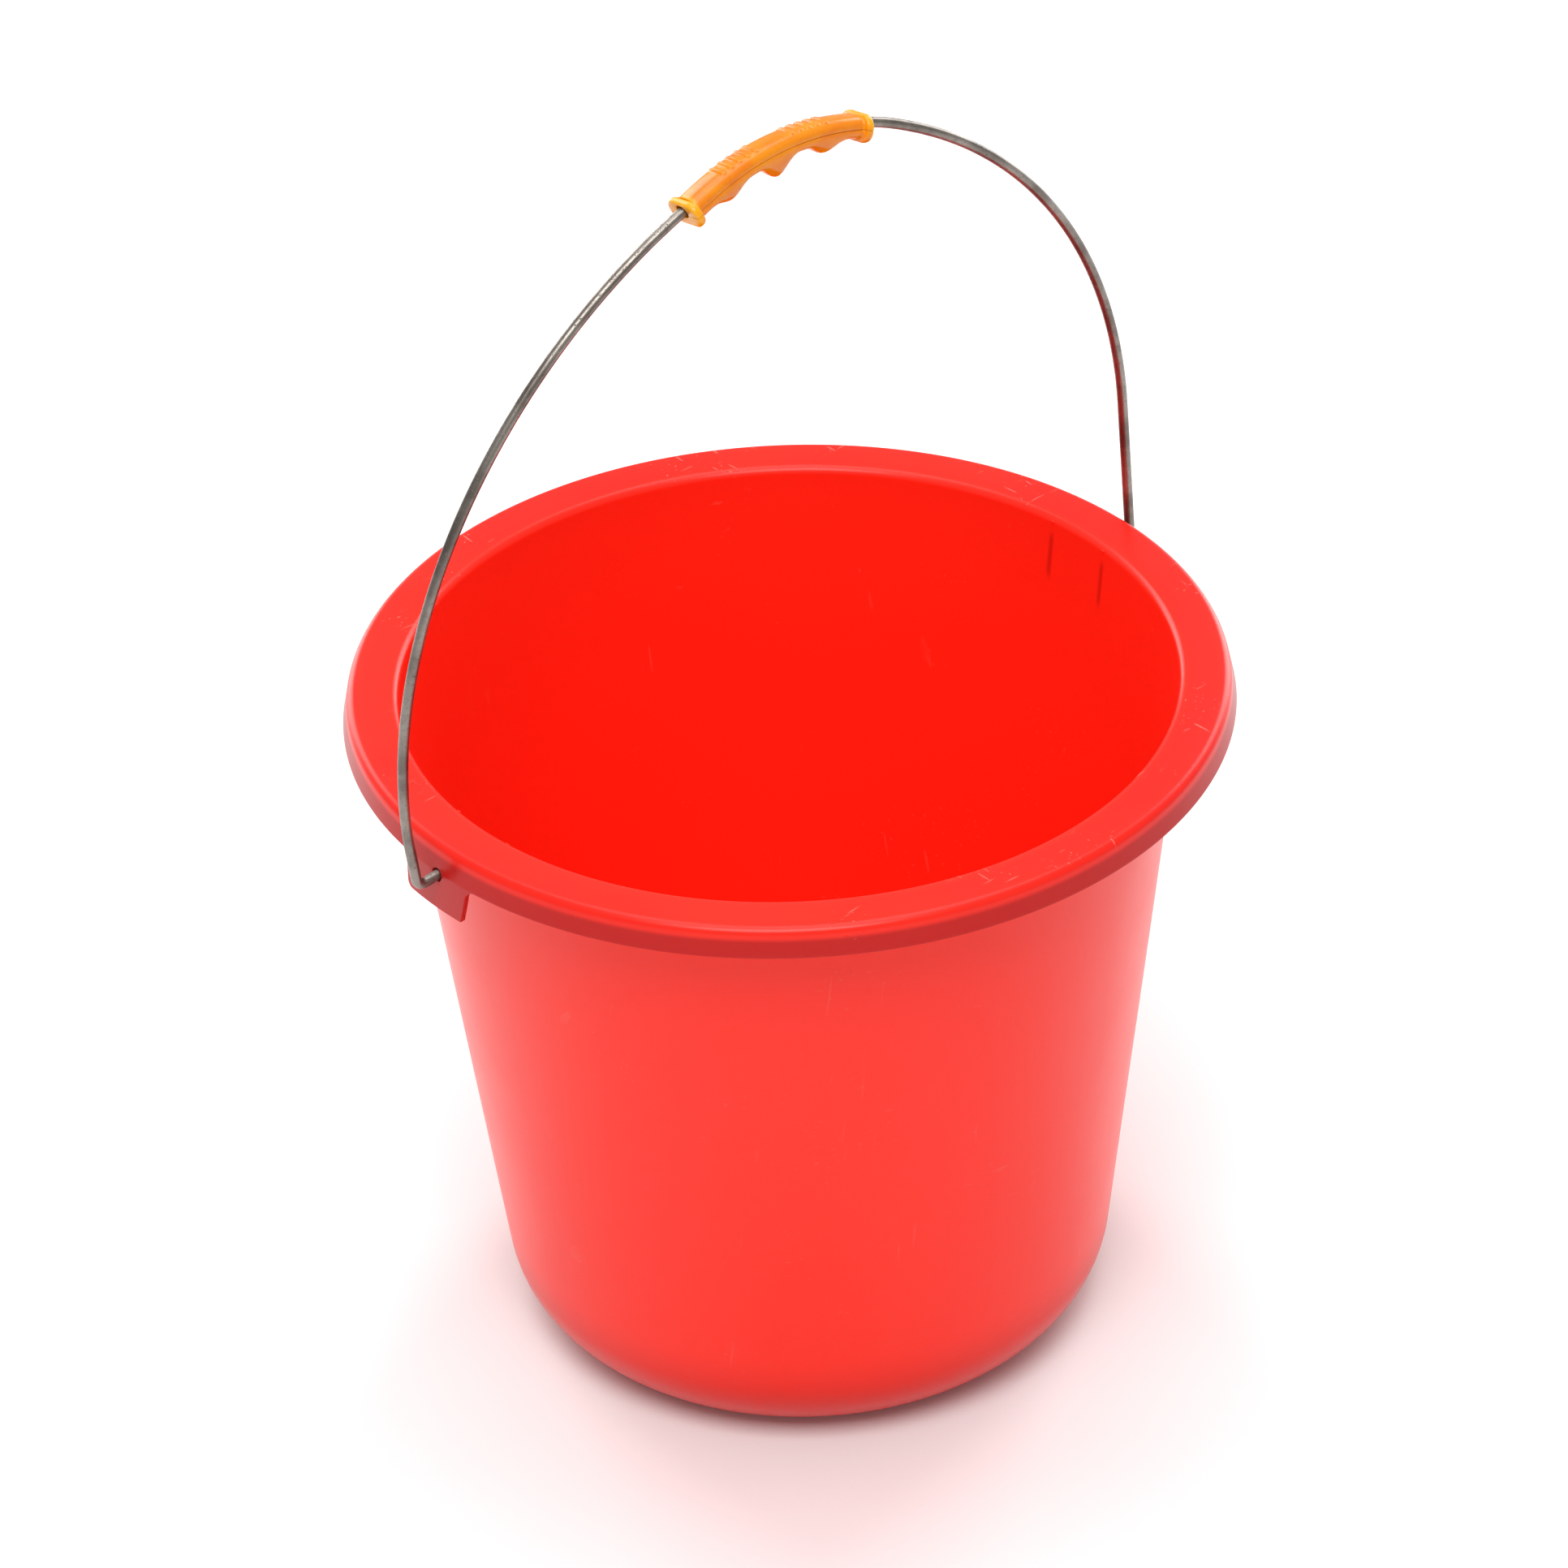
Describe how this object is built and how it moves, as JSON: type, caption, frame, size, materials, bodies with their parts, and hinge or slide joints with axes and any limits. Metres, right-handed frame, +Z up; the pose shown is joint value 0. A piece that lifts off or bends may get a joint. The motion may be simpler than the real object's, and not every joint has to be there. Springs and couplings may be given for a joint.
{
  "type": "wash bucket",
  "caption": "Round tapered plastic bucket with a flat rim, two ear tabs, a swinging steel wire bail and a loose plastic hand grip.",
  "frame": {"origin": "centre of the bucket's underside, on the surface that it stands on", "axes": "+Z up along the bucket's axis, X along the bail's pivot through both ears, Y across it"},
  "size_m": [0.3235, 0.303, 0.4715],
  "materials": {
    "bucket_plastic": "satin moulded red plastic with a soft sheen",
    "bail_steel": "dull drawn steel wire with small pits",
    "grip_plastic": "glossy moulded orange plastic"
  },
  "bodies": {
    "bucket": {"bucket_body": "bucket_plastic"},
    "bail": {"bail_wire": "bail_steel"},
    "grip": {"grip_upper_half": "grip_plastic", "grip_lower_half": "grip_plastic"}
  },
  "joints": [
    {"name": "bail_swing", "type": "hinge", "parent": "bucket", "child": "bail", "pos_m": [0, 0, 0.242], "axis": [1, 0, 0], "range_deg": [-150, 141]},
    {"name": "grip_rock", "type": "hinge", "parent": "bail", "child": "grip", "pos_m": [-0.01215, -0.01683, 0.46075], "axis": [0.9984, -0.0043, 0.0556], "range_deg": [-2, 32]}
  ]
}
